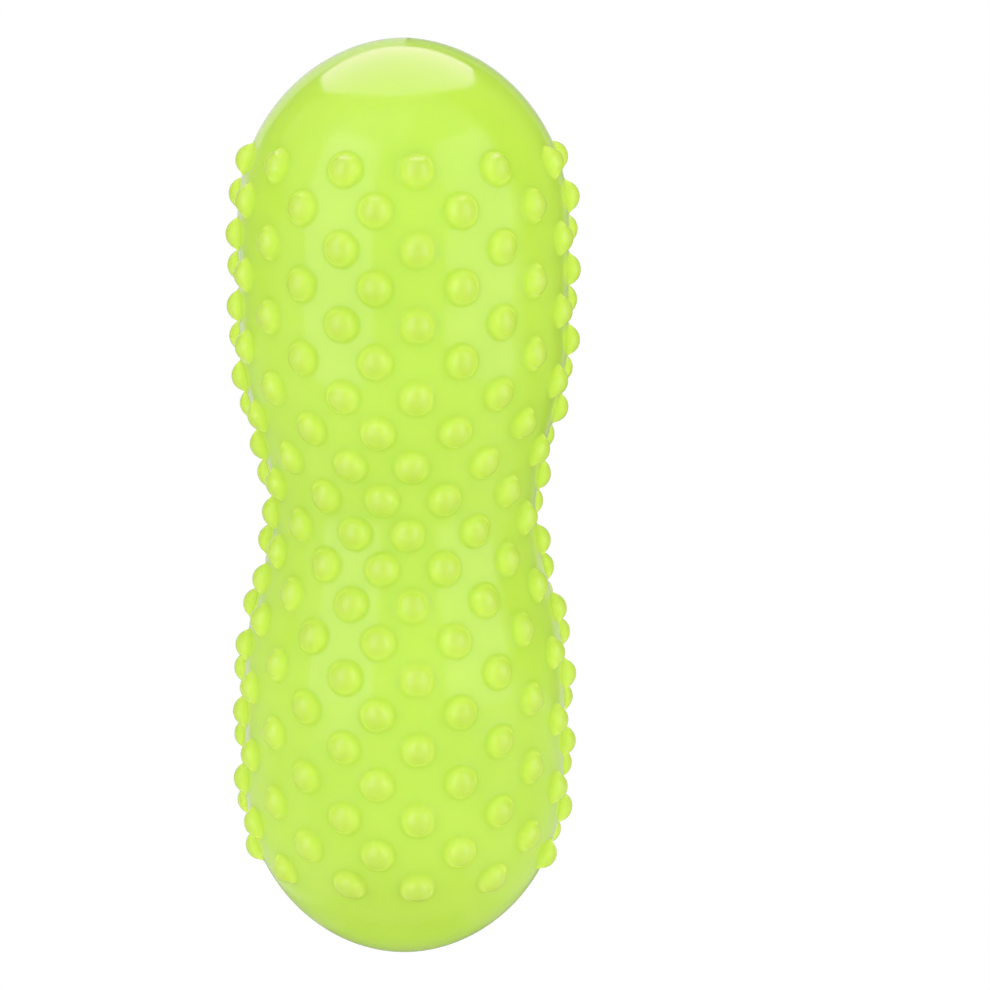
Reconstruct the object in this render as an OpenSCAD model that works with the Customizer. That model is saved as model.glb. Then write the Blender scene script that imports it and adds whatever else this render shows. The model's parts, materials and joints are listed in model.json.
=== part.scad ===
// Studded peanut-shaped balance pad.
// One soft hollow skin with moulded studs, filled with air through a needle valve in one end.
// Millimetres. The pad lies on its studs on the floor, Z = 0, with its long axis along Y.
// The valve is in the -Y end; the row of studs on top is the middle of the patterned side.

/* [Body] */
// Length of the pad from pole to pole
pad_len = 246; // [200:2:280]
// Radius of each round lobe, without the studs
lobe_r = 43; // [38:0.5:47]
// Radius at the middle of the waist, without the studs
waist_r = 35; // [30:0.5:40]
// How far the waist's hollow reaches each way from the middle
waist_reach = 45; // [38:1:50]
// Length of each domed end
dome_len = 48; // [44:1:54]
// How much each lobe swells between the waist and its dome
lobe_swell = 0.2; // [0.1:0.1:1]
// Thickness of the moulded skin
wall = 2.6; // [2:0.1:4]

/* [Studs] */
// Radius of the ball that forms a stud
stud_r = 4.2; // [3.8:0.1:5]
// Depth of that ball's centre under the skin's outer surface
stud_sink = 1; // [0.6:0.1:1.8]
// Distance between neighbouring rings of studs at the waist
ring_pitch = 9; // [8.6:0.1:9.6]
// How quickly that distance grows towards the ends
ring_stretch = 0.0024; // [0:0.0004:0.004]
// Rings of studs on each side of the middle ring
side_rings = 10; // [4:1:10]
// Length left bare at each domed end
bare_end = 28; // [22:1:60]

/* [Valve] */
// Radius of the seat's rim, level with the skin
seat_r = 6.5; // [6:0.25:8]
// Length of the seat, into the pad
seat_len = 13; // [12:0.5:16]
// Taper of the seat and its hole: how much the radius falls for each millimetre inwards
seat_draft = 0.05; // [0.02:0.01:0.06]
// Radius of the flange that holds the seat to the inside of the skin
flange_r = 11; // [10:0.5:14]
// Thickness of that flange
flange_t = 1.8; // [1.2:0.1:2.6]
// Radius of the rubber core
core_r = 4; // [3.5:0.25:4.5]
// Radius of the needle's hole through the core
needle_r = 1.1; // [0.9:0.05:1.4]
// Length of the needle's hole, under its mouth
needle_len = 10; // [8:0.5:10.5]

/* [Hidden] */
$fn = 64;

half_len = pad_len / 2;
// The end domes are superellipses: dome_p shapes the shoulder, dome_q the tip
dome_p = 2.1;
dome_q = 1.9;
steps = 76; // facets of the body's outline from pole to pole

// Angle of each stud of half a ring about the long axis, from the top; the other half of the
// ring repeats it half a turn on. Even rings take row_a and odd rings row_b, so they stagger.
row_a = [-79, -48.8, -18.5, 7, 37.1, 71];
row_b = [-93, -66, -33.5, -7, 22, 52.2];
// How far each column leans in at the waist
lean_a = [4, 2.5, 0, -3, -3.5, -4];
lean_b = [4.5, 2.5, 2.5, 0.5, -3.5, -2];
lean_reach = 23; // the lean fades over this length either way from the middle

// Middle of each lobe, along the long axis
lobe_mid = (waist_reach + half_len - dome_len) / 2;

// The valve's parts, measured inwards from the pole along the valve's axis
core_top = 1.2; // the core sits this far inside the seat's rim
mouth_len = 1; // the countersunk mouth of the needle's hole
mouth_r = 2.1;
lip_len = 3; // the closed inner end of the core
core_len = mouth_len + needle_len + lip_len;
bead_r = core_r + 0.6; // the bead that keeps the core in its seat
bead_at = 9;
bead_h = 2.4;

// Radius of the body's outer surface at s along the long axis, from the middle
function body_r(s) =
    let (
        a = abs(s),
        hollow = a < waist_reach ? (lobe_r - waist_r) * pow(cos(90 * a / waist_reach), 2) : 0,
        off = 3 * (a - lobe_mid),
        swell = abs(off) < 90 ? lobe_swell * pow(cos(off), 2) : 0,
        t = max(0, (a - half_len + dome_len) / dome_len)
    )
    (lobe_r - hollow + swell) * pow(max(0, 1 - pow(t, dome_p)), 1 / dome_q);

// The outline as points [radius, s], with t from -90 at one pole to 90 at the other
function outline(t) = [body_r(half_len * sin(t)), half_len * sin(t)];
function unit(v) = v / norm(v);
function outward(t) =
    abs(t) > 89.9 ? [0, sign(t)] : let (d = unit(outline(t + 0.1) - outline(t - 0.1))) [d[1], -d[0]];
function inset(t, depth) = outline(t) - depth * outward(t);

// Where a ring of studs stands, and the slope of the skin there
function ring_s(n) = ring_pitch * n + ring_stretch * n * n * n;
function slope(s) = (body_r(s + 0.05) - body_r(s - 0.05)) / 0.1;
function lean(s) = exp(-pow(s / lean_reach, 2));
// A stud's ball lies at this radius from the long axis, and this far along it
function ball_r(s) = body_r(s) - stud_sink / sqrt(1 + pow(slope(s), 2));
function ball_s(s) = s + stud_sink * slope(s) / sqrt(1 + pow(slope(s), 2));
function has_studs(s) = abs(s) < half_len - bare_end;

// The pad rests on the studs nearest its lowest line, 7 degrees either side of it
axis_h = stud_r + cos(7) * max([for (n = [0 : side_rings]) has_studs(ring_s(n)) ? ball_r(ring_s(n)) : 0]);

// The body's solid, cut back by a depth under its outer surface
module core_form(depth) {
    translate([0, 0, axis_h])
        rotate([-90, 0, 0])
            rotate_extrude()
                polygon([for (i = [0 : steps]) inset(-90 + 180 * i / steps, depth)]);
}

module stud(s, angle) {
    translate([ball_r(s) * sin(angle), ball_s(s), axis_h + ball_r(s) * cos(angle)])
        sphere(stud_r);
}

module studs() {
    for (n = [-side_rings : side_rings]) {
        s = ring_s(n);
        if (has_studs(s)) {
            row = n % 2 == 0 ? row_a : row_b;
            tilt = n % 2 == 0 ? lean_a : lean_b;
            for (half = [0, 180], i = [0 : 5])
                stud(s, row[i] + tilt[i] * lean(s) + half);
        }
    }
}

// Puts its children at the valve's pole, with +Z pointing out of the pad
module at_valve() {
    translate([0, -half_len, axis_h]) rotate([90, 0, 0]) children();
}

// The seat's tapered outer form, from a depth under the pole to a height over it
module seat_plug(depth, height) {
    at_valve() translate([0, 0, -depth])
        cylinder(r1 = seat_r - seat_draft * depth, r2 = seat_r + seat_draft * height, h = depth + height);
}

// The hollow soft skin with its studs, open only where the valve's seat is moulded in
module skin() {
    color([0.77, 0.94, 0.34])
        difference() {
            union() {
                core_form(0);
                studs();
            }
            core_form(wall);
            seat_plug(wall + 4, 4);
        }
}

// The seat: a flanged sleeve bonded to the inside of the skin
module valve_seat() {
    color([0.70, 0.88, 0.28])
        difference() {
            union() {
                intersection() {
                    difference() {
                        core_form(wall);
                        core_form(wall + flange_t);
                    }
                    at_valve() translate([0, 0, -wall - 10]) cylinder(r = flange_r, h = wall + 10);
                }
                seat_plug(seat_len, 0);
            }
            at_valve() {
                translate([0, 0, -seat_len - 10]) cylinder(r = core_r, h = seat_len + 20);
                translate([0, 0, -bead_at - bead_h / 2]) cylinder(r = bead_r, h = bead_h);
            }
        }
}

// The self-sealing rubber core: the needle's hole is blind, and its inner end is a closed lip
module valve_core() {
    color([0.16, 0.17, 0.16])
        at_valve()
            difference() {
                union() {
                    translate([0, 0, -core_top - core_len]) cylinder(r = core_r, h = core_len);
                    translate([0, 0, -bead_at - bead_h / 2]) cylinder(r = bead_r, h = bead_h);
                }
                translate([0, 0, -core_top - mouth_len - needle_len]) cylinder(r = needle_r, h = needle_len + 0.01);
                translate([0, 0, -core_top - mouth_len]) cylinder(r1 = needle_r, r2 = mouth_r, h = mouth_len + 0.001);
            }
}

skin();
valve_seat();
valve_core();
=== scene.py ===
import json
import math

import bpy
import numpy as np
from mathutils import Matrix, Vector


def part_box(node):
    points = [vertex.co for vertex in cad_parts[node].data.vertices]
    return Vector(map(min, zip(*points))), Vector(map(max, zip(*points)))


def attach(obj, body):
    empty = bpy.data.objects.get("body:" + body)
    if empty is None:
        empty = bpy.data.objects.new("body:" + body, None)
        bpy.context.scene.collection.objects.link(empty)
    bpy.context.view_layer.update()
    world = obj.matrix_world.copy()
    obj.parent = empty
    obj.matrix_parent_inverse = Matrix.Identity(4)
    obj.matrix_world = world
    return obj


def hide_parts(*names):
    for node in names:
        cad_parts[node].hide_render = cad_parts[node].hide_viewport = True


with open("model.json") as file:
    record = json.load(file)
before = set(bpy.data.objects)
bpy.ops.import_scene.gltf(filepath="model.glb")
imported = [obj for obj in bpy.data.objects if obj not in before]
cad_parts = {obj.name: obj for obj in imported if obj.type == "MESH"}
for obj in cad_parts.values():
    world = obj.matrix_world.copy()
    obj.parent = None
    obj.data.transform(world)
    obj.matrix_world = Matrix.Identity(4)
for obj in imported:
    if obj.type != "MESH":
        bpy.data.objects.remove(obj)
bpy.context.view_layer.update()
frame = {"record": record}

# ---------------------------------------------------------------- places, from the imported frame
SKIN_LO, SKIN_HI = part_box("skin")
SEAT_LO, SEAT_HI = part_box("valve_seat")
CORE_LO, CORE_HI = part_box("valve_core")
HALF = max(SKIN_HI.y, -SEAT_LO.y) * 1000.0      # mm, from the middle to a pole
AXIS = (SKIN_LO.z + SKIN_HI.z) * 500.0          # mm, height of the long axis
NEEDLE = [m for m in frame["record"]["mounts"] if m["name"] == "needle_port"][0]
NEEDLE_R = NEEDLE["dims"]["r_mm"]
NEEDLE_L = NEEDLE["dims"]["length_mm"]

rng = np.random.default_rng(41)

# ---------------------------------------------------------------- the body's outline, in mm
LOBE_R, WAIST_R, REACH, DOME, SWELL = 43.0, 35.0, 45.0, 48.0, 0.2
DOME_P, DOME_Q = 2.1, 1.9
LOBE_MID = (REACH + HALF - DOME) / 2


def body_r(s):
    a = np.abs(np.asarray(s, float))
    hollow = np.where(a < REACH, (LOBE_R - WAIST_R) * np.cos(np.pi / 2 * np.minimum(a, REACH) / REACH) ** 2, 0)
    off = np.radians(3 * (a - LOBE_MID))
    swell = np.where(np.abs(off) < np.pi / 2, SWELL * np.cos(off) ** 2, 0)
    t = np.clip((a - HALF + DOME) / DOME, 0, 1)
    return (LOBE_R - hollow + swell) * np.maximum(0, 1 - t ** DOME_P) ** (1 / DOME_Q)


# arc length along the outline, measured from the middle
_t = np.linspace(-np.pi / 2, np.pi / 2, 24001)
_s = HALF * np.sin(_t)
_r = body_r(_s)
_v = np.concatenate([[0], np.cumsum(np.hypot(np.diff(_s), np.diff(_r)))])
_v -= _v[len(_v) // 2]
V_POLE = _v[-1]


def s_of(v):
    return np.interp(v, _v, _s)


def v_of(s):
    return np.interp(s, _s, _v)


def r_of(v):
    return np.interp(v, _v, _r)


def surface(theta, v):
    """Points on the smooth body at an angle about the long axis, from the top, and an arc length."""
    r, s = r_of(v), s_of(v)
    return np.stack([r * np.sin(theta), s, AXIS + r * np.cos(theta)], -1)


def outward(theta, v):
    e = 0.02
    dr, ds = r_of(v + e) - r_of(v - e), s_of(v + e) - s_of(v - e)
    n = np.hypot(dr, ds) + 1e-12
    dr, ds = dr / n, ds / n
    return np.stack([ds * np.sin(theta), -dr, ds * np.cos(theta)], -1)


# ---------------------------------------------------------------- where the studs stand
ROW_A = [-79, -48.8, -18.5, 7, 37.1, 71]
ROW_B = [-93, -66, -33.5, -7, 22, 52.2]
LEAN_A = [4, 2.5, 0, -3, -3.5, -4]
LEAN_B = [4.5, 2.5, 2.5, 0.5, -3.5, -2]
LEAN_REACH, PITCH, STRETCH, RINGS = 23.0, 9.0, 0.0024, 10
STUD_R, STUD_SINK = 4.2, 1.0


def ring_s(n):
    return PITCH * n + STRETCH * n ** 3


def stud_angles(n):
    """The twelve angles of a ring's studs, in radians, in order round the body."""
    row, lean = (ROW_A, LEAN_A) if n % 2 == 0 else (ROW_B, LEAN_B)
    k = math.exp(-(ring_s(n) / LEAN_REACH) ** 2)
    half = [row[i] + lean[i] * k for i in range(6)]
    return np.radians(np.array(half + [a + 180 for a in half]))


SEG = 8                       # points on each side of a stud's diamond-shaped cell
N = 4 * SEG                   # points round a stud
# stud (ring n, column j): odd rings fill the even columns and even rings the odd ones, of 24
stud = {}
for n in range(-RINGS - 2, RINGS + 3):
    ang = stud_angles(n)
    v = float(v_of(ring_s(n)))
    for i in range(12):
        stud[n, (2 * i + (n % 2 == 0)) % 24] = (ang[i], v)
        # the same stud a whole turn on or back, for cells that cross the seam


def stud_at(n, j):
    turn, j = divmod(j, 24)
    a, v = stud[n, j]
    return a + turn * 2 * math.pi, v


def corner(n, j):
    """The bare point between four studs: left and right in ring n, one above and one below."""
    pts = [stud_at(n, j - 1), stud_at(n, j + 1)]
    if abs(n) <= RINGS:
        pts += [stud_at(n - 1, j), stud_at(n + 1, j)]
        w = [0.25] * 4
    else:
        pts = [stud_at(n - int(np.sign(n)), j), (0, stud_at(n, j - 1)[1])]
        return pts[0][0], pts[1][1]
    return sum(p[0] * q for p, q in zip(pts, w)), sum(p[1] * q for p, q in zip(pts, w))


verts, shading_paint_gloss_at = [], []      # one entry a vertex: its place, and its painted light and shade over the skin's own colour, with its gloss
faces = []
corner_id, edge_id = {}, {}


def add(points, shading_paint_gloss=(1.0, 1.0, 1.0, 0.5)):
    first = len(verts)
    points = np.atleast_2d(points)
    verts.extend(points)
    shading_paint_gloss_at.extend([shading_paint_gloss] * len(points))
    return list(range(first, first + len(points)))


TV = {}                                   # vertex -> (theta, v) for those on the smooth body


def add_tv(theta, v):
    ids = add(surface(np.atleast_1d(theta), np.atleast_1d(v)))
    for i, t, w in zip(ids, np.atleast_1d(theta), np.atleast_1d(v)):
        TV[i] = (float(t), float(w))
    return ids


def corner_vertex(n, j):
    key = (n, j % 24)
    if key not in corner_id:
        corner_id[key] = add_tv(*corner(n, j % 24))[0]
    return corner_id[key]


# points along a cell's side, closer in its middle, so that they stand evenly round both studs
_a = np.radians(np.linspace(-42, 42, SEG + 1))
SIDE_T = (0.5 + 0.5 * np.tan(_a) / np.tan(_a[-1]))[1:-1]


def side(a, b):
    """Vertices from corner a to corner b, ends included; a and b are (n, j)."""
    ka, kb = (a[0], a[1] % 24), (b[0], b[1] % 24)
    if (ka, kb) not in edge_id:
        (ta, va), (tb, vb) = corner(*a), corner(*b)
        mid = add_tv(ta + (tb - ta) * SIDE_T, va + (vb - va) * SIDE_T)
        edge_id[ka, kb] = mid
        edge_id[kb, ka] = mid[::-1]
    return [corner_vertex(*a)] + edge_id[ka, kb] + [corner_vertex(*b)]


def base_height(c, e1, e2, nrm, a, b):
    """Height of the smooth body over the tangent plane at c, at plane coordinates a, b."""
    h = np.zeros_like(a)
    for _ in range(5):
        p = c + a[:, None] * e1 + b[:, None] * e2 + h[:, None] * nrm
        q = p + 1e-3 * nrm
        f = np.hypot(p[:, 0], p[:, 2] - AXIS) - body_r(p[:, 1])
        g = np.hypot(q[:, 0], q[:, 2] - AXIS) - body_r(q[:, 1])
        h -= f / ((g - f) / 1e-3)
    return h


class Stud:
    """A stud's section: a ball's cap, a drafted flank that leaves the mould, and a fillet at the foot."""

    def __init__(self, fillet, cap=3.45):
        z = math.sqrt(STUD_R ** 2 - cap ** 2)
        self.cap, self.cap_z, self.slope, self.fillet = cap, z - STUD_SINK, cap / z, fillet
        turn = math.atan(self.slope)
        reach = fillet * math.tan(turn / 2)
        foot = cap + self.cap_z / self.slope
        self.tan = foot - reach * math.cos(turn)
        self.end = foot + reach
        gap = self.end - self.tan
        self.rho = np.array([0.7, 1.35, 1.95, 2.5, 2.95, 3.25, cap, cap + 0.33 * (self.tan - cap),
                             cap + 0.67 * (self.tan - cap), self.tan, self.tan + 0.15 * gap, self.tan + 0.32 * gap,
                             self.tan + 0.52 * gap, self.tan + 0.75 * gap, self.end, self.end + 0.5])

    def height(self, rho):
        ball = np.sqrt(np.maximum(STUD_R ** 2 - rho ** 2, 0)) - STUD_SINK
        flank = self.cap_z - self.slope * (rho - self.cap)
        d = np.clip(self.end - rho, 0, self.fillet)
        fil = self.fillet - np.sqrt(np.maximum(self.fillet ** 2 - d ** 2, 0))
        return np.where(rho < self.cap, ball, np.where(rho < self.tan, flank, np.where(rho < self.end, fil, 0.0)))


# painted light and shade over a stud, by distance from its middle in mm: the top painted duller and darker, the flank
# and foot painted lighter against the shade in the crease, and bluer on the flank as a painted reflection where its
# gloss is off
STUD_SHADING_PAINT = np.array([
    (0, 0.896, 0.809, 1.129),
    (0.7, 0.899, 0.814, 1.134),
    (1.35, 0.9, 0.818, 1.133),
    (1.95, 0.916, 0.84, 1.129),
    (2.5, 0.95, 0.876, 1.155),
    (2.95, 0.998, 0.924, 1.222),
    (3.25, 1.007, 0.949, 1.253),
    (3.6, 1.051, 0.974, 1.535),
    (3.9, 1.061, 0.977, 1.468),
    (4.2, 1.066, 0.987, 1.369),
    (4.5, 1.049, 0.996, 1.124),
    (4.8, 1.022, 0.997, 0.906),
    (5.1, 1.011, 0.999, 0.922),
    (5.6, 1.0, 1.0, 1.0),
])


# painted light and shade, with the gloss, at this distance from a stud's middle
def stud_shading_paint(rho):
    gloss = float(np.interp(rho, [3.1, 3.5, 4.4, 4.95], [0.5, 0.0, 0.0, 0.5]))      # no mirror on the flank: it drew a thin grey line there
    return (*(float(np.interp(rho, STUD_SHADING_PAINT[:, 0], STUD_SHADING_PAINT[:, k])) for k in (1, 2, 3)), gloss)


SECTIONS = [Stud(f) for f in (0.25, 0.4, 0.55, 0.7, 0.95, 1.2, 1.5, 1.7)]
BLEND = [0.3, 0.62]
stud_centres = []


def build_stud(n, j):
    th, v = stud_at(n, j)
    c = surface(np.array([th]), np.array([v]))[0]
    nrm = outward(np.array([th]), np.array([v]))[0]
    e1 = np.array([math.cos(th), 0, -math.sin(th)])
    e2 = np.cross(nrm, e1)
    stud_centres.append(c)
    loop = (
        side((n, j + 1), (n + 1, j))[:-1] + side((n + 1, j), (n, j - 1))[:-1]
        + side((n, j - 1), (n - 1, j))[:-1] + side((n - 1, j), (n, j + 1))[:-1]
    )
    tv = np.array([TV[i] for i in loop])
    tv[:, 0] += 2 * np.pi * np.round((th - tv[:, 0]) / (2 * np.pi))
    flat = surface(tv[:, 0], tv[:, 1]) - c
    phi = np.arctan2(flat @ e2, flat @ e1)
    # the studs nearest the top and the bottom line are blended more softly into the skin
    room = np.hypot(flat @ e1, flat @ e2)
    soft = n % 2 == 0 and j % 12 == 7
    kind = [k for k in SECTIONS if k.fillet <= (1.7 if soft else 1.2) and (k is SECTIONS[0] or k.end < 0.96 * room.min())][-1]
    # each stud is moulded a little differently
    high = 1 + rng.normal(0, 0.012)
    a2, a3, a4 = rng.uniform(0, 0.016), rng.uniform(0, 0.006), rng.uniform(0, 0.010)
    p2, p3, p4 = rng.uniform(0, 2 * np.pi, 3)
    wide = 1 + rng.normal(0, 0.006)
    sx, sy = rng.normal(0, 0.09, 2)
    stretch = wide + a2 * np.cos(2 * (phi - p2)) + a3 * np.cos(3 * (phi - p3)) + a4 * np.cos(4 * (phi - p4))
    if soft:
        stretch = stretch - 0.02 * np.cos(4 * phi)
    # its foot keeps inside its cell where a neighbour stands close
    stretch = np.minimum(np.clip(stretch, 0.96, 1.03), 0.97 * room / kind.end)
    patch = np.minimum(kind.rho[-1], kind.end * stretch + 0.45 * (room - kind.end * stretch))
    rings = []
    for k, rho in enumerate(kind.rho):
        out = patch if k == len(kind.rho) - 1 else rho * stretch
        lean = max(0.0, 1 - (rho / kind.end) ** 2)
        a = out * np.cos(phi) + sx * lean
        b = out * np.sin(phi) + sy * lean
        base = base_height(c, e1, e2, nrm, a, b)
        g = np.clip((rho - 1.5) / (kind.end - 1.5), 0, 1)
        h = base * g * g * (3 - 2 * g) + kind.height(np.array(rho)) * high
        p = c + a[:, None] * e1 + b[:, None] * e2 + h[:, None] * nrm
        # each ring takes the stud's painted light and shade for its distance
        rings.append(add(p, stud_shading_paint(rho)))
    top = add(c + sx * e1 + sy * e2 + (STUD_R - STUD_SINK) * high * nrm, stud_shading_paint(0.0))[0]
    # from the patch out to the sides of the cell, on the smooth body
    pts = np.array([verts[i] for i in rings[-1]])
    ct = np.arctan2(pts[:, 0], pts[:, 2] - AXIS)
    ct += 2 * np.pi * np.round((th - ct) / (2 * np.pi))
    cv = v_of(pts[:, 1])
    for w in BLEND:
        rings.append(add_tv(ct + (tv[:, 0] - ct) * w, cv + (tv[:, 1] - cv) * w))
    rings.append(loop)
    for k in range(N):
        faces.append((top, rings[0][k], rings[0][(k + 1) % N]))
    for inner, outer in zip(rings[:-1], rings[1:]):
        for k in range(N):
            m = (k + 1) % N
            faces.append((inner[k], outer[k], outer[m], inner[m]))


for n in range(-RINGS, RINGS + 1):
    for i in range(12):
        build_stud(n, (2 * i + (n % 2 == 0)) % 24)

# ---------------------------------------------------------------- the domes
# a zigzag of cell sides bounds the studded part at each end
LIP_R = 6.5                                # mm, where the skin meets the valve's seat


def strip(lower, upper, flip):
    m = len(lower)
    for k in range(m):
        q = (lower[k], lower[(k + 1) % m], upper[(k + 1) % m], upper[k])
        faces.append(q[::-1] if flip else q)


def halve(lower, upper, flip):
    """Joins a ring to one of half as many points."""
    m = len(upper)
    for k in range(m):
        a, b, c = lower[2 * k], lower[2 * k + 1], lower[(2 * k + 2) % len(lower)]
        u, w = upper[k], upper[(k + 1) % m]
        for f in ((a, b, u), (b, c, w), (b, w, u)):
            faces.append(f[::-1] if flip else f)


def build_dome(end):
    n = RINGS * end
    loop = []
    for i in range(12):
        j = 2 * i + 1
        loop += side((n, j - 1), (n + end, j))[:-1] + side((n + end, j), (n, j + 1))[:-1]
    tv = np.array([TV[i] for i in loop])
    m = len(loop)
    tv[:, 0] = np.unwrap(tv[:, 0])
    even = tv[0, 0] + 2 * np.pi * np.arange(m) / m
    even += (tv[:, 0] - even).mean()
    top_v = abs(stud_at(n + end, 0)[1]) + 4.0
    rows = 9
    last = loop
    for k in range(1, rows + 1):
        w = k / rows
        ease = w ** 1.15
        row = add_tv(tv[:, 0] + (even - tv[:, 0]) * w, tv[:, 1] + (end * top_v - tv[:, 1]) * ease)
        strip(last, row, end < 0)
        last = row
    theta = even
    v = top_v
    stop_v = V_POLE if end > 0 else float(np.interp(-LIP_R, -_r[len(_r) // 2:], _v[len(_v) // 2:])) - 0.35
    while True:
        circ = 2 * np.pi * r_of(v)
        step = min(1.35, max(0.5, 1.6 * circ / len(last)))
        if end > 0 and V_POLE - v < 2.2:
            break
        if end < 0 and stop_v - v < 1.3 * step:
            break
        v += step
        here = 2 * np.pi * r_of(v) / len(last)
        if here < 0.72 and len(last) > 24 and not (end < 0 and len(last) <= 48):
            theta = theta[::2]
            row = add_tv(theta, np.full(len(theta), end * v))
            halve(last, row, end < 0)
        else:
            row = add_tv(theta, np.full(len(theta), end * v))
            strip(last, row, end < 0)
        last = row
    if end > 0:
        pole = add_tv(0.0, V_POLE)[0]
        for k in range(len(last)):
            faces.append((last[k], last[(k + 1) % len(last)], pole))
        return None
    row = add_tv(theta, np.full(len(theta), -stop_v))
    strip(last, row, True)
    return row, theta


build_dome(1)
lip, lip_theta = build_dome(-1)

# the skin's edge at the seat: rounded over, then down the tapered hole, and closed behind the seat
edge_s = float(s_of(TV[lip[0]][1]))
edge_r = float(r_of(TV[lip[0]][1]))
ROUND = 0.35
last = lip
hole = [(LIP_R + ROUND * (1 - math.sin(a)), edge_s + 0.04 + ROUND * (1 - math.cos(a))) for a in np.radians([30, 60, 90])]
depth = [1.2, 2.6, 6.0, 10.0, 13.2]
hole += [(LIP_R + 0.03 - 0.05 * d, -HALF + d + (0.75 if d < 2 else 0)) for d in depth]
hole += [(3.6, -HALF + 13.6), (1.6, -HALF + 13.7)]
for r, s in hole:
    p = np.stack([r * np.sin(lip_theta), np.full(len(lip_theta), s), AXIS + r * np.cos(lip_theta)], -1)
    row = add(p)
    strip(last, row, True)
    last = row
centre = add(np.array([0.0, -HALF + 13.7, AXIS]))[0]
for k in range(len(last)):
    faces.append((last[(k + 1) % len(last)], last[k], centre))

P = np.array(verts)
SHADING_PAINT_GLOSS = np.array(shading_paint_gloss_at)

# ---------------------------------------------------------------- the skin's unevenness
# soft moulded PVC under air pressure: long faint waves, and it dips a little between studs
C = np.array(stud_centres)
near = np.zeros(len(P))
for k in range(0, len(C), 42):
    d2 = ((P[:, None, :] - C[None, k:k + 42, :]) ** 2).sum(-1)
    near += np.exp(-d2 / (2 * 4.6 ** 2)).sum(1)
radial = P - np.stack([np.zeros(len(P)), P[:, 1], np.full(len(P), AXIS)], -1)
theta_all = np.arctan2(radial[:, 0], radial[:, 2])
v_all = v_of(P[:, 1])
NRM = outward(theta_all, v_all)


def waves(p, length, count, seed):
    g = np.random.default_rng(seed)
    out = np.zeros(len(p))
    for _ in range(count):
        d = g.normal(size=3)
        d /= np.linalg.norm(d)
        k = 2 * np.pi / (length * g.uniform(0.7, 1.5))
        out += np.sin(p @ d * k + g.uniform(0, 2 * np.pi))
    return out / math.sqrt(count)


fade_ends = np.clip((HALF - 12 - np.abs(P[:, 1])) / 20, 0, 1)
fade_ends = fade_ends ** 2 * (3 - 2 * fade_ends)
studded = np.clip((101 - np.abs(P[:, 1])) / 12, 0, 1)
studded = studded ** 2 * (3 - 2 * studded)
# the lowest studs are what the pad rests on, so they stay where they are
rest = np.clip((P[:, 2] - 1.0) / 6.0, 0, 1)
shift = (
    0.11 * waves(P, 42, 14, 5) * (0.35 + 0.65 * fade_ends)
    + 0.035 * waves(P, 15, 18, 6) * fade_ends
    - 0.13 * (1 - np.minimum(near, 1)) * studded
) * rest
# deeper paint over the shoulder of the -Y dome stands in for a fall-off of light there
deep = np.interp(P[:, 1], [-117, -109, -105, -94, -86, -72], [0, 0.35, 1, 1, 0.4, 0]) * np.exp(-(theta_all / 0.9) ** 2)
SHADING_PAINT_GLOSS = SHADING_PAINT_GLOSS * (1 - deep[:, None] * np.array([0.050, 0.080, 0.0, 0.0]))
off_axis = np.hypot(P[:, 0], P[:, 2] - AXIS)
shift *= np.where(P[:, 1] < -100, np.clip((off_axis - 8) / 5, 0, 1), 1)   # the valve's surround stays true
P = P + shift[:, None] * NRM
P[:, 2] = np.maximum(P[:, 2], 0.0)


def make_mesh(name, points, polys, materials=()):
    mesh = bpy.data.meshes.new(name)
    mesh.from_pydata((np.asarray(points) / 1000.0).tolist(), [], [tuple(int(i) for i in f) for f in polys])
    mesh.validate()
    mesh.polygons.foreach_set("use_smooth", [True] * len(mesh.polygons))
    ob = bpy.data.objects.new(name, mesh)
    bpy.context.scene.collection.objects.link(ob)
    for m in materials:
        mesh.materials.append(m)
    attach(ob, "root")
    return ob


# ---------------------------------------------------------------- materials
def new_material(name):
    m = bpy.data.materials.new(name)
    m.use_nodes = True
    nt = m.node_tree
    for x in list(nt.nodes):
        nt.nodes.remove(x)
    out = nt.nodes.new("ShaderNodeOutputMaterial")
    bsdf = nt.nodes.new("ShaderNodeBsdfPrincipled")
    nt.links.new(bsdf.outputs[0], out.inputs[0])
    return m, nt, bsdf


def node(nt, kind, **props):
    x = nt.nodes.new(kind)
    for k, v in props.items():
        setattr(x, k, v)
    return x


def mix_colour(nt, fac, a, b, blend="MIX"):
    x = node(nt, "ShaderNodeMix", data_type="RGBA", blend_type=blend)
    for sock, val in ((x.inputs[0], fac), (x.inputs[6], a), (x.inputs[7], b)):
        if isinstance(val, bpy.types.NodeSocket):
            nt.links.new(val, sock)
        elif isinstance(val, (int, float)):
            sock.default_value = val
        else:
            sock.default_value = (*val, 1.0)
    return x.outputs[2]


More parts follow.
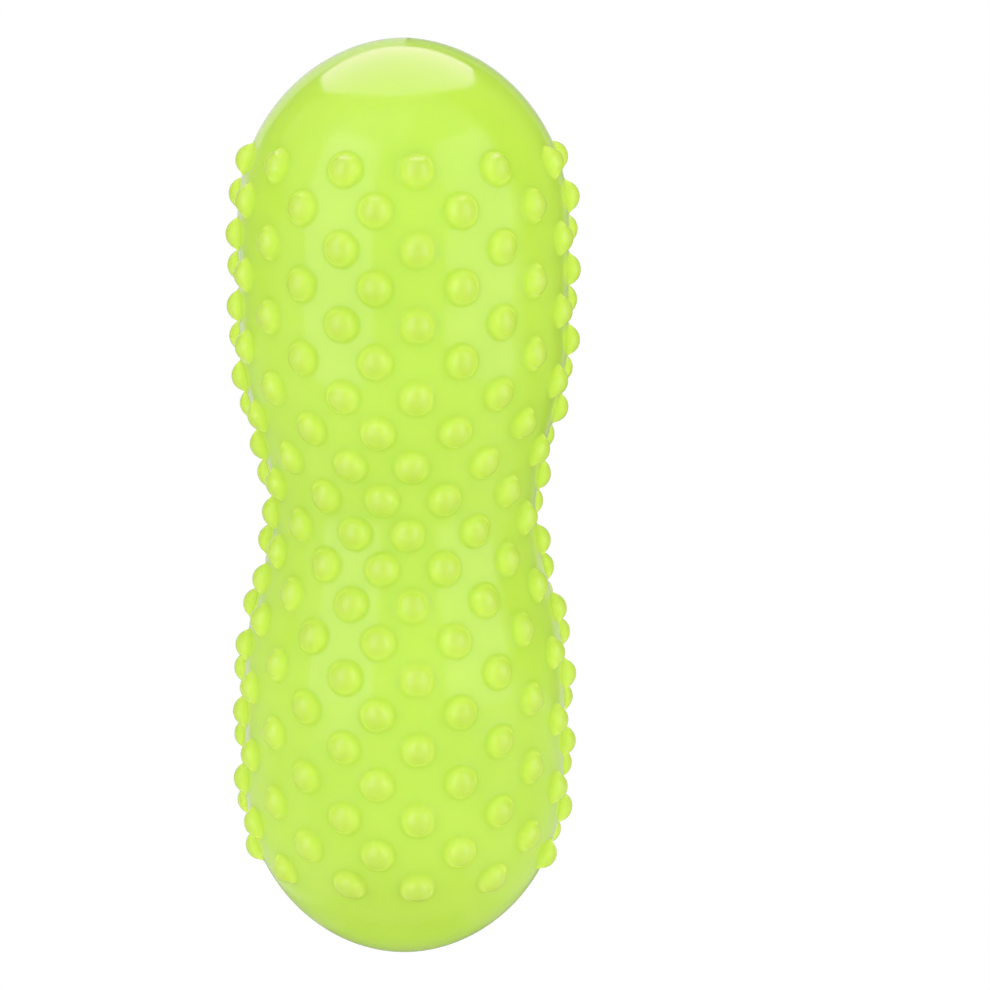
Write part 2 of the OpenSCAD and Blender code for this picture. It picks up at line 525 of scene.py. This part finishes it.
def pvc_material():
    m, nt, b = new_material("soft_pvc")
    co = node(nt, "ShaderNodeTexCoord").outputs["Object"]

    def noise(scale, detail=2.0, rough=0.5):
        x = node(nt, "ShaderNodeTexNoise")
        x.inputs["Scale"].default_value = scale
        x.inputs["Detail"].default_value = detail
        x.inputs["Roughness"].default_value = rough
        nt.links.new(co, x.inputs["Vector"])
        return x.outputs["Fac"]

    shading_paint_gloss = node(nt, "ShaderNodeAttribute", attribute_name="shading_paint_gloss").outputs
    cloud = noise(38.0, 2.0)
    ramp = node(nt, "ShaderNodeMapRange")
    ramp.inputs["From Min"].default_value = 0.3
    ramp.inputs["From Max"].default_value = 0.7
    nt.links.new(cloud, ramp.inputs["Value"])
    col = mix_colour(nt, ramp.outputs[0], (0.452, 0.672, 0.059), (0.474, 0.691, 0.069))
    # the skin's colour times the painted light and shade held on the mesh
    col = mix_colour(nt, 1.0, col, shading_paint_gloss["Color"], "MULTIPLY")
    nt.links.new(shading_paint_gloss["Alpha"], b.inputs["Specular IOR Level"])
    nt.links.new(col, b.inputs["Base Color"])
    b.inputs["Subsurface Weight"].default_value = 1.0
    b.inputs["Subsurface Radius"].default_value = (1.0, 1.3, 0.35)
    b.inputs["Subsurface Scale"].default_value = 0.008
    b.inputs["IOR"].default_value = 1.53
    b.inputs["Specular Tint"].default_value = (0.70, 0.45, 0.97, 1.0)
    # gloss: fine patches where the skin is a little duller
    g = node(nt, "ShaderNodeMapRange")
    g.inputs["From Min"].default_value = 0.35
    g.inputs["From Max"].default_value = 0.65
    g.inputs["To Min"].default_value = 0.12
    g.inputs["To Max"].default_value = 0.16
    nt.links.new(noise(220.0, 3.0), g.inputs["Value"])
    nt.links.new(g.outputs[0], b.inputs["Roughness"])
    # the mould's faint grain
    bump = node(nt, "ShaderNodeBump")
    bump.inputs["Strength"].default_value = 0.25
    bump.inputs["Distance"].default_value = 0.00004
    nt.links.new(noise(900.0, 2.0), bump.inputs["Height"])
    nt.links.new(bump.outputs[0], b.inputs["Normal"])
    return m


PVC = pvc_material()
skin = make_mesh("pad_skin", P, faces, [PVC])
# the painted light and shade, with the gloss, a vertex each
at = skin.data.attributes.new("shading_paint_gloss", "FLOAT_COLOR", "POINT")
at.data.foreach_set("color", SHADING_PAINT_GLOSS.astype(np.float32).ravel())
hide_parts("skin")


# ---------------------------------------------------------------- the valve
def lathe(name, profile, material, count=96):
    """A closed ring or solid turned about the valve's axis; profile is (radius, depth under the pole)."""
    pts, polys, rows = [], [], []
    th = 2 * np.pi * np.arange(count) / count
    for r, d in profile:
        if r < 1e-6:
            pts.append([0.0, -HALF + d, AXIS])
            rows.append([len(pts) - 1] * count)
        else:
            first = len(pts)
            pts.extend(np.stack([r * np.sin(th), np.full(count, -HALF + d), AXIS + r * np.cos(th)], -1).tolist())
            rows.append(list(range(first, first + count)))
    closed = profile[0][0] > 1e-6 and profile[-1][0] > 1e-6
    pairs = list(zip(rows[:-1], rows[1:])) + ([(rows[-1], rows[0])] if closed else [])
    for a, c in pairs:
        for k in range(count):
            m = (k + 1) % count
            f = [a[k], a[m], c[m], c[k]]
            f = [x for i, x in enumerate(f) if x not in f[:i]]
            if len(f) > 2:
                polys.append(f)
    ob = make_mesh(name, pts, polys, [material])
    return ob


def arc(cr, cd, rad, a0, a1, k=5):
    return [(cr + rad * math.cos(math.radians(a)), cd + rad * math.sin(math.radians(a))) for a in np.linspace(a0, a1, k)]


def seat_material():
    m, nt, b = new_material("seat_pvc")
    co = node(nt, "ShaderNodeTexCoord").outputs["Object"]
    n1 = node(nt, "ShaderNodeTexNoise")
    n1.inputs["Scale"].default_value = 500.0
    n1.inputs["Detail"].default_value = 3.0
    nt.links.new(co, n1.inputs["Vector"])
    col = mix_colour(nt, n1.outputs["Fac"], (0.40, 0.66, 0.035), (0.50, 0.77, 0.06))
    nt.links.new(col, b.inputs["Base Color"])
    b.inputs["Roughness"].default_value = 0.42
    b.inputs["Subsurface Weight"].default_value = 0.15
    b.inputs["Subsurface Radius"].default_value = (1.0, 1.3, 0.35)
    b.inputs["Subsurface Scale"].default_value = 0.002
    bump = node(nt, "ShaderNodeBump")
    bump.inputs["Strength"].default_value = 0.3
    bump.inputs["Distance"].default_value = 0.00005
    nt.links.new(n1.outputs["Fac"], bump.inputs["Height"])
    nt.links.new(bump.outputs[0], b.inputs["Normal"])
    return m


def rubber_material():
    m, nt, b = new_material("valve_rubber")
    co = node(nt, "ShaderNodeTexCoord").outputs["Object"]
    n1 = node(nt, "ShaderNodeTexNoise")
    n1.inputs["Scale"].default_value = 1400.0
    n1.inputs["Detail"].default_value = 4.0
    nt.links.new(co, n1.inputs["Vector"])
    col = mix_colour(nt, n1.outputs["Fac"], (0.012, 0.013, 0.012), (0.034, 0.036, 0.033))
    nt.links.new(col, b.inputs["Base Color"])
    b.inputs["Roughness"].default_value = 0.62
    bump = node(nt, "ShaderNodeBump")
    bump.inputs["Strength"].default_value = 0.4
    bump.inputs["Distance"].default_value = 0.00006
    nt.links.new(n1.outputs["Fac"], bump.inputs["Height"])
    nt.links.new(bump.outputs[0], b.inputs["Normal"])
    return m


SEAT_M, RUBBER_M = seat_material(), rubber_material()
taper = lambda d: LIP_R - 0.02 - 0.05 * d
seat_profile = (
    [(4.02, 12.9), (4.02, 1.1)]
    + arc(4.02 + 0.5, 0.62, 0.5, 180, 270)
    + [(5.2, 0.12), (5.45, 0.30), (5.7, 0.12)]
    + arc(5.98, 0.42, 0.44, 270, 360)
    + [(taper(1.2), 1.2), (taper(4), 4.0), (taper(9), 9.0), (taper(13), 12.6), (5.2, 13.0), (4.3, 13.0)]
)
seat = lathe("valve_seat_ring", seat_profile, SEAT_M)
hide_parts("valve_seat")
core_profile = (
    [(0.0, 1.2 + 1 + NEEDLE_L + 0.3), (NEEDLE_R * 0.7, 1.2 + 1 + NEEDLE_L + 0.1), (NEEDLE_R, 1.2 + NEEDLE_L), (NEEDLE_R, 2.2)]
    + [(1.25, 1.85), (1.6, 1.5), (2.0, 1.28), (2.35, 1.2)]
    + [(3.1, 1.2), (3.5, 1.25)]
    + arc(3.62, 1.6, 0.36, 270, 360)
    + [(3.98, 8.0), (3.98, 12.0), (3.98, 14.6), (3.6, 15.1), (2.0, 15.2), (0.0, 15.2)]
)
core = lathe("valve_core_plug", core_profile, RUBBER_M)
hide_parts("valve_core")

# ---------------------------------------------------------------- floor
def sheet(name, points, polys, material):
    mesh = bpy.data.meshes.new(name)
    mesh.from_pydata(points, [], polys)
    mesh.materials.append(material)
    ob = bpy.data.objects.new(name, mesh)
    bpy.context.scene.collection.objects.link(ob)
    return ob


def rectangle(x0, x1, y0, y1, z):
    return [(x0, y0, z), (x1, y0, z), (x1, y1, z), (x0, y1, z)], [(0, 1, 2, 3)]


# what the eye sees of it: white, with only a breath of shadow
fm, fnt, fb = new_material("floor_white")
fb.inputs["Base Color"].default_value = (0.10, 0.10, 0.10, 1)
fb.inputs["Emission Color"].default_value = (1, 1, 1, 1)
fb.inputs["Emission Strength"].default_value = 0.93
fb.inputs["Roughness"].default_value = 0.9
fb.inputs["Specular IOR Level"].default_value = 0.0
floor = sheet("floor", *rectangle(-6, 6, -6, 6, -0.0002), fm)
floor.visible_diffuse = floor.visible_glossy = floor.visible_transmission = False
floor.visible_shadow = False


def glow(name, points, polys, strength, kind, colour=(1.0, 1.0, 1.0)):
    """Light sent up from the floor: kind is diffuse, which lights the pad, or glossy, which its skin mirrors."""
    m = bpy.data.materials.new(name)
    m.use_nodes = True
    for x in list(m.node_tree.nodes):
        m.node_tree.nodes.remove(x)
    out = m.node_tree.nodes.new("ShaderNodeOutputMaterial")
    emission = m.node_tree.nodes.new("ShaderNodeEmission")
    emission.inputs["Color"].default_value = (*colour, 1.0)
    emission.inputs["Strength"].default_value = strength
    m.node_tree.links.new(emission.outputs[0], out.inputs[0])
    ob = sheet(name, points, polys, m)
    ob.visible_camera = ob.visible_transmission = ob.visible_volume_scatter = False
    ob.visible_diffuse = kind == "diffuse"
    ob.visible_glossy = kind == "glossy"
    ob.visible_shadow = kind == "diffuse"


def patch(name, corners, strength, z=-0.00015):
    glow(name, [(x, y, z) for x, y in corners], [tuple(range(len(corners)))], strength, "glossy")


def halo(name, side, inner, outer, s0, s1, strength, colour=(1.0, 1.0, 1.0), kind="glossy"):
    """A strip of the paper round the pad, between two distances from its outline, in mm."""
    s = np.linspace(s0, s1, 48)
    slope = (body_r(s + 0.005) - body_r(s - 0.005)) / 0.01
    slope = np.where(s > HALF - 0.02, -1e6, slope)
    n = np.hypot(1, slope)
    pts = []
    for off, order in ((inner, 1), (outer, -1)):
        x, y = side * (body_r(s) + off / n) / 1000, (s - off * slope / n) / 1000
        pts += [(a, b, -0.0001) for a, b in zip(x[::order], y[::order])]
    m = len(s)
    glow(name, pts, [(k, k + 1, 2 * m - 2 - k, 2 * m - 1 - k) for k in range(m - 1)], strength, kind, colour)


TIP = HALF / 1000.0
glow("bounce", *rectangle(-6, 6, -6, 6, -0.0002), 0.78, "diffuse")
glow("bounce_south", *rectangle(-0.9, 0.9, -1.5, -0.14, -0.00015), 1.5, "diffuse")
for name, side, waist in (("shadow_left", -1, 0.85), ("shadow_right", 1, 1.0)):
    for tag, s0, s1, strength in (("_low", -95, -38, 0.50), ("_waist", -38, 46, waist), ("_high", 46, 95, 0.50)):
        halo(name + tag, side, -30, 34, s0, s1, strength, kind="diffuse")
glow("bounce_north_left", *rectangle(-1.2, -0.07, 0.10, 1.2, -0.00015), 1.00, "diffuse")
glow("bounce_north_right", *rectangle(0.055, 1.2, 0.10, 1.2, -0.00015), 1.12, "diffuse")
# what the gloss shows of the paper: brighter past the sides of the -Y half, darker past the -Y end
glow("bounce_far", *rectangle(-6, 6, -6, 6, -0.0002), 0.25, "glossy")
patch("paper_left_mid", [(-6, -0.03), (-0.07, -0.03), (-0.07, 0.025), (-6, 0.2)], 0.55)
patch("paper_left_low", [(-6, -0.09), (-0.06, -0.09), (-0.06, -0.03), (-6, -0.03)], 0.52)
patch("paper_left_far", [(-6, -0.09), (-6, -6), (-3.4, -6), (-0.055, -0.135), (-0.06, -0.09)], 0.66)
patch("paper_right_low", [(6, -0.075), (0.06, -0.075), (0.055, -0.135), (3.4, -6), (6, -6)], 0.58)
patch("paper_left_end", [(-0.055, -0.135), (-3.4, -6), (-2.2, -6), (-0.034, -0.150), (-0.044, -0.128)], 0.38)
patch("paper_right_end", [(0.055, -0.135), (0.044, -0.128), (0.034, -0.150), (2.2, -6), (3.4, -6)], 0.40)
patch("paper_left_north", [(-6, 2.0), (-0.16, 0.16), (-0.12, 0.20), (-0.20, 0.39), (-2.0, 6), (-6, 6)], 0.66)
patch("paper_south", [(-1.5, -3.0), (-0.07, -0.26), (0.07, -0.26), (1.5, -3.0)], 0.20)
south = [(-1.3, -2.0, 0.0), (1.3, -2.0, 0.0), (1.3, -2.0, 0.45), (-1.3, -2.0, 0.45)]
glow("horizon_south", south, [(0, 1, 2, 3)], 0.42, "glossy")
for name, z0, z1, strength in (("sky_south_low", 0.45, 1.15, 0.42), ("sky_south_high", 1.15, 2.3, 0.68)):
    sky = [(-1.5, -2.0, z0), (1.5, -2.0, z0), (1.5, -2.0, z1), (-1.5, -2.0, z1)]
    glow(name, sky, [(0, 1, 2, 3)], strength, "glossy")
# the paper close round the pad, in the pad's own soft shade at its very foot
halo("shade_left", -1, 0, 10, -104, HALF - 0.01, 1.0, (0.76, 0.71, 0.98))
halo("shade_right", 1, 0, 10, -104, HALF - 0.01, 0.85, (0.72, 0.68, 0.90))
halo("near_left", -1, 10, 40, -104, 92, 1.0, (0.76, 0.62, 1.0))
halo("near_left_top", -1, 10, 46, 92, HALF - 0.01, 0.84, (0.94, 0.88, 1.0))
halo("mid_left", -1, 40, 60, -10, 92, 0.38)
halo("near_left_end", -1, 0, 34, -119, -104, 0.40)
halo("near_right", 1, 10, 34, -25, HALF - 0.01, 0.38)
halo("mid_right", 1, 34, 75, -25, HALF - 0.01, 0.12)
halo("near_right_low", 1, 10, 34, -104, -25, 0.62)
halo("near_right_end", 1, 0, 34, -117, -104, 0.28)
# a white card on the floor past the +Y end, where the view doesn't reach
card = [(-0.057, TIP + 0.035, 0.001), (0.0, TIP + 0.041, 0.001), (0.042, TIP + 0.037, 0.001), (0.065, TIP + 0.065, 0.001),
        (0.093, TIP + 0.114, 0.001), (0.131, TIP + 0.236, 0.001), (0.216, TIP + 0.593, 0.001), (0.50, TIP + 2.0, 0.001),
        (-0.80, TIP + 2.0, 0.001), (-0.185, TIP + 0.265, 0.001), (-0.116, TIP + 0.112, 0.001), (-0.090, TIP + 0.074, 0.001)]
glow("card", card, [tuple(range(12))], 2.75, "glossy", (0.99, 0.60, 1.0))
glow("card_light", card, [tuple(range(12))], 1.25, "diffuse")
stand = [(-0.80, TIP + 2.0, 0.001), (-0.42, TIP + 2.0, 0.21), (-0.05, TIP + 2.0, 0.26), (0.32, TIP + 2.0, 0.12),
         (0.50, TIP + 2.0, 0.001)]
glow("card_stand", stand, [tuple(range(5))], 2.85, "glossy", (0.99, 0.60, 1.0))
# a paler reflector high behind it
high = [(-1.7, 1.5, 0.30), (0.12, 1.5, 0.50), (0.12, 1.5, 1.35), (-1.7, 1.5, 1.35)]
glow("reflector_north", high, [(0, 1, 2, 3)], 1.4, "glossy")
# and light on the pad from low past both its ends
for name, y, strength in (("reflector_south", -1.1, 1.0), ("reflector_low_north", 1.1, 1.1)):
    low = [(-0.6, y, 0.02), (0.6, y, 0.02), (0.6, y, 0.45), (-0.6, y, 0.45)]
    glow(name, low, [(0, 1, 2, 3)], strength, "diffuse")

# ---------------------------------------------------------------- light
scene = bpy.context.scene
world = bpy.data.worlds.new("studio")
scene.world = world
world.use_nodes = True
bg = [n for n in world.node_tree.nodes if n.type == "BACKGROUND"][0]
bg.inputs["Color"].default_value = (1, 1, 1, 1)
bg.inputs["Strength"].default_value = 0.90
CENTRE = Vector((0.0, 0.0, AXIS / 1000.0))


def softbox(name, azimuth, distance, width, y0, y1, light, shine):
    """A soft light along the pad: azimuth is from straight up towards +X, in degrees.
    light is how brightly it lights the pad, and shine how bright it looks in the pad's gloss."""
    a = math.radians(azimuth)
    z = Vector((math.sin(a), 0, math.cos(a)))                # from the pad to the light
    y = Vector((0, 1, 0))
    rot = Matrix((y.cross(z), y, z)).transposed().to_4x4()
    for tag, power, back, along, more in (("", light, 0.02, -0.15, 0.0), ("_shine", shine, 0.0, -0.035, 0.07)):
        if power <= 0:
            continue
        lamp = bpy.data.lights.new(name + tag, "AREA")
        lamp.shape = "RECTANGLE"
        lamp.size, lamp.size_y = width, y1 - y0 + more
        lamp.energy = power * width * (y1 - y0 + more) * math.pi    # watts for that radiance
        ob = bpy.data.objects.new(name + tag, lamp)
        scene.collection.objects.link(ob)
        ob.matrix_world = Matrix.Translation(CENTRE + z * (distance + back) + y * ((y0 + y1) / 2 + along)) @ rot
        ob.visible_camera = ob.visible_transmission = ob.visible_volume_scatter = False
        ob.visible_diffuse = tag == ""
        ob.visible_glossy = tag == "_shine"


softbox("box_left", -43, 1.0, 0.95, -0.25, 1.25, 1.12, 1.32)
softbox("box_right", 57, 1.0, 0.95, -0.25, 1.25, 0.95, 1.08)
softbox("box_top", 7, 1.2, 0.90, -0.45, 0.75, 0.92, 0.0)

# ---------------------------------------------------------------- camera
cam_data = bpy.data.cameras.new("camera")
cam_data.sensor_width = 36.0
cam_data.lens = 98.85
cam_data.clip_start, cam_data.clip_end = 0.05, 20
cam = bpy.data.objects.new("camera", cam_data)
scene.collection.objects.link(cam)
right = Vector((0.99993371, 0.00482607, -0.01045358))
up = Vector((-0.00686422, 0.9787974, -0.20471575))
fwd = Vector((-0.00924396, -0.20477393, -0.97876564))
eye = CENTRE + Vector((0.03081382, 0.15110801, 0.70712681))
rot = Matrix((right, up, -fwd)).transposed().to_4x4()
cam.matrix_world = Matrix.Translation(eye) @ rot
scene.camera = cam
scene.view_settings.view_transform = "Standard"
scene.view_settings.look = "None"
scene.view_settings.exposure = 0.0
scene.view_settings.gamma = 1.0
